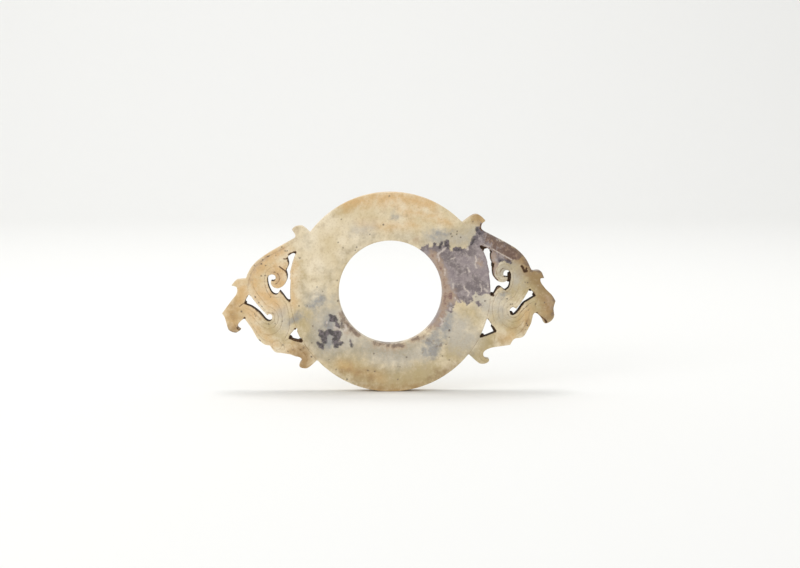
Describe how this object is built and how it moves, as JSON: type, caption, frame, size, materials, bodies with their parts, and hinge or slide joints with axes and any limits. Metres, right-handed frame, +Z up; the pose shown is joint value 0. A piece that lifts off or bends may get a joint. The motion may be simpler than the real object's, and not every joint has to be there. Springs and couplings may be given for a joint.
{
  "type": "jade pendant",
  "caption": "Flat openwork jade pendant: a ring with a wide round hole between carved birds in profile that face outwards.",
  "frame": {"origin": "on the ground under the centre of the ring's hole, midway through the plate's thickness", "axes": "+X along the pendant to the viewer's right, +Y through the plate from its front face to its back face, +Z up"},
  "size_m": [0.0999, 0.0044, 0.06],
  "materials": {
    "jade": "nephrite with a worn satin polish, cream to tan with brown and mauve-grey stains and soil in the cuts"
  },
  "bodies": {
    "root": {"ring": "jade", "left_bird": "jade", "right_bird": "jade"}
  },
  "joints": []
}
